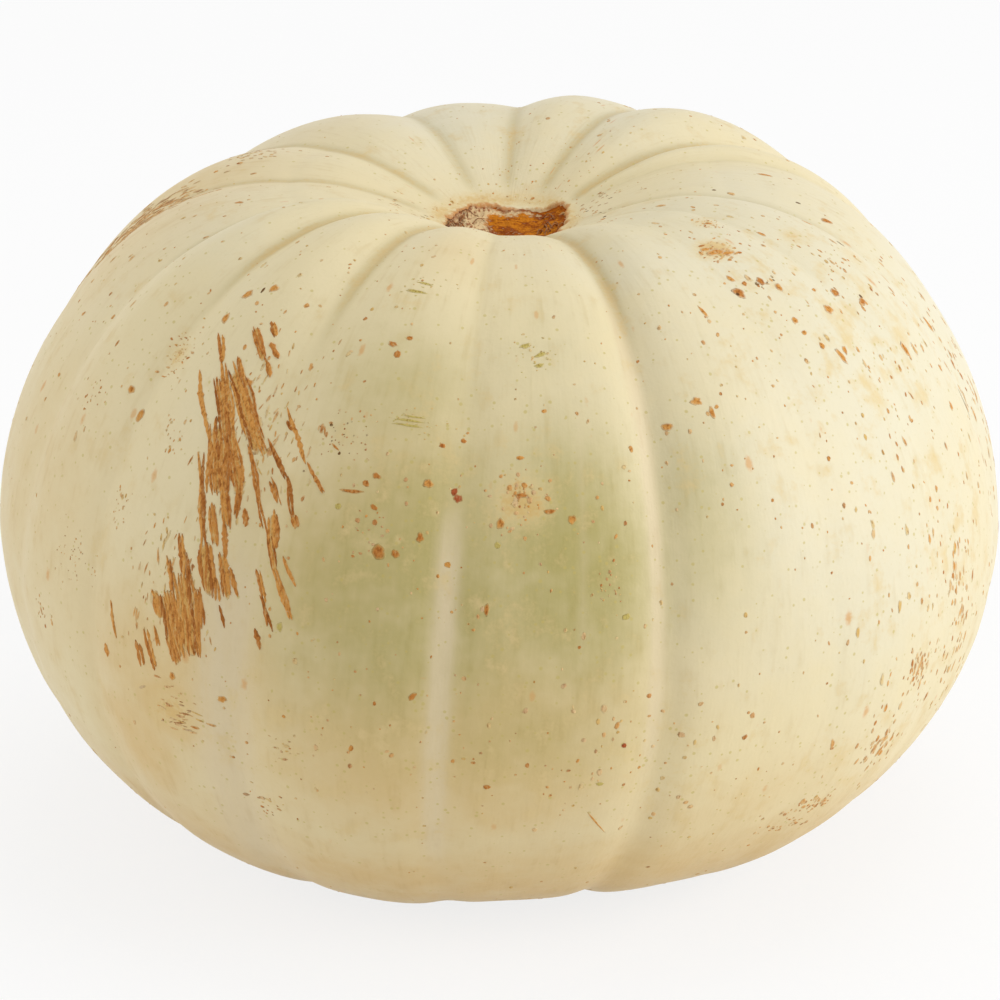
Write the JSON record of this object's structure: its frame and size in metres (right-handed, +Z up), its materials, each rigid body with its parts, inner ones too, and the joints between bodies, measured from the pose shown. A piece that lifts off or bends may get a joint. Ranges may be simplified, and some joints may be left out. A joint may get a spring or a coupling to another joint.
{
  "type": "white ribbed pumpkin",
  "caption": "Whole white ribbed pumpkin with the stem torn off, a corky scar in its crown hollow and weathered marks on its rind.",
  "frame": {"origin": "middle of the footprint, on the surface that the fruit rests on", "axes": "+Z up through the stem scar, -Y the front that carries the large corky patch on its left, +X to the right seen from the front"},
  "size_m": [0.2994, 0.298, 0.2033],
  "materials": {
    "rind": "smooth waxy rind with a soft sheen, cream white with green tinges, speckles and raised brown corky marks",
    "scar_cork": "dry fibrous cork, matt, of the torn stem's scar and of the blossom scar underneath"
  },
  "bodies": {
    "root": {"pumpkin": "rind"}
  },
  "joints": []
}
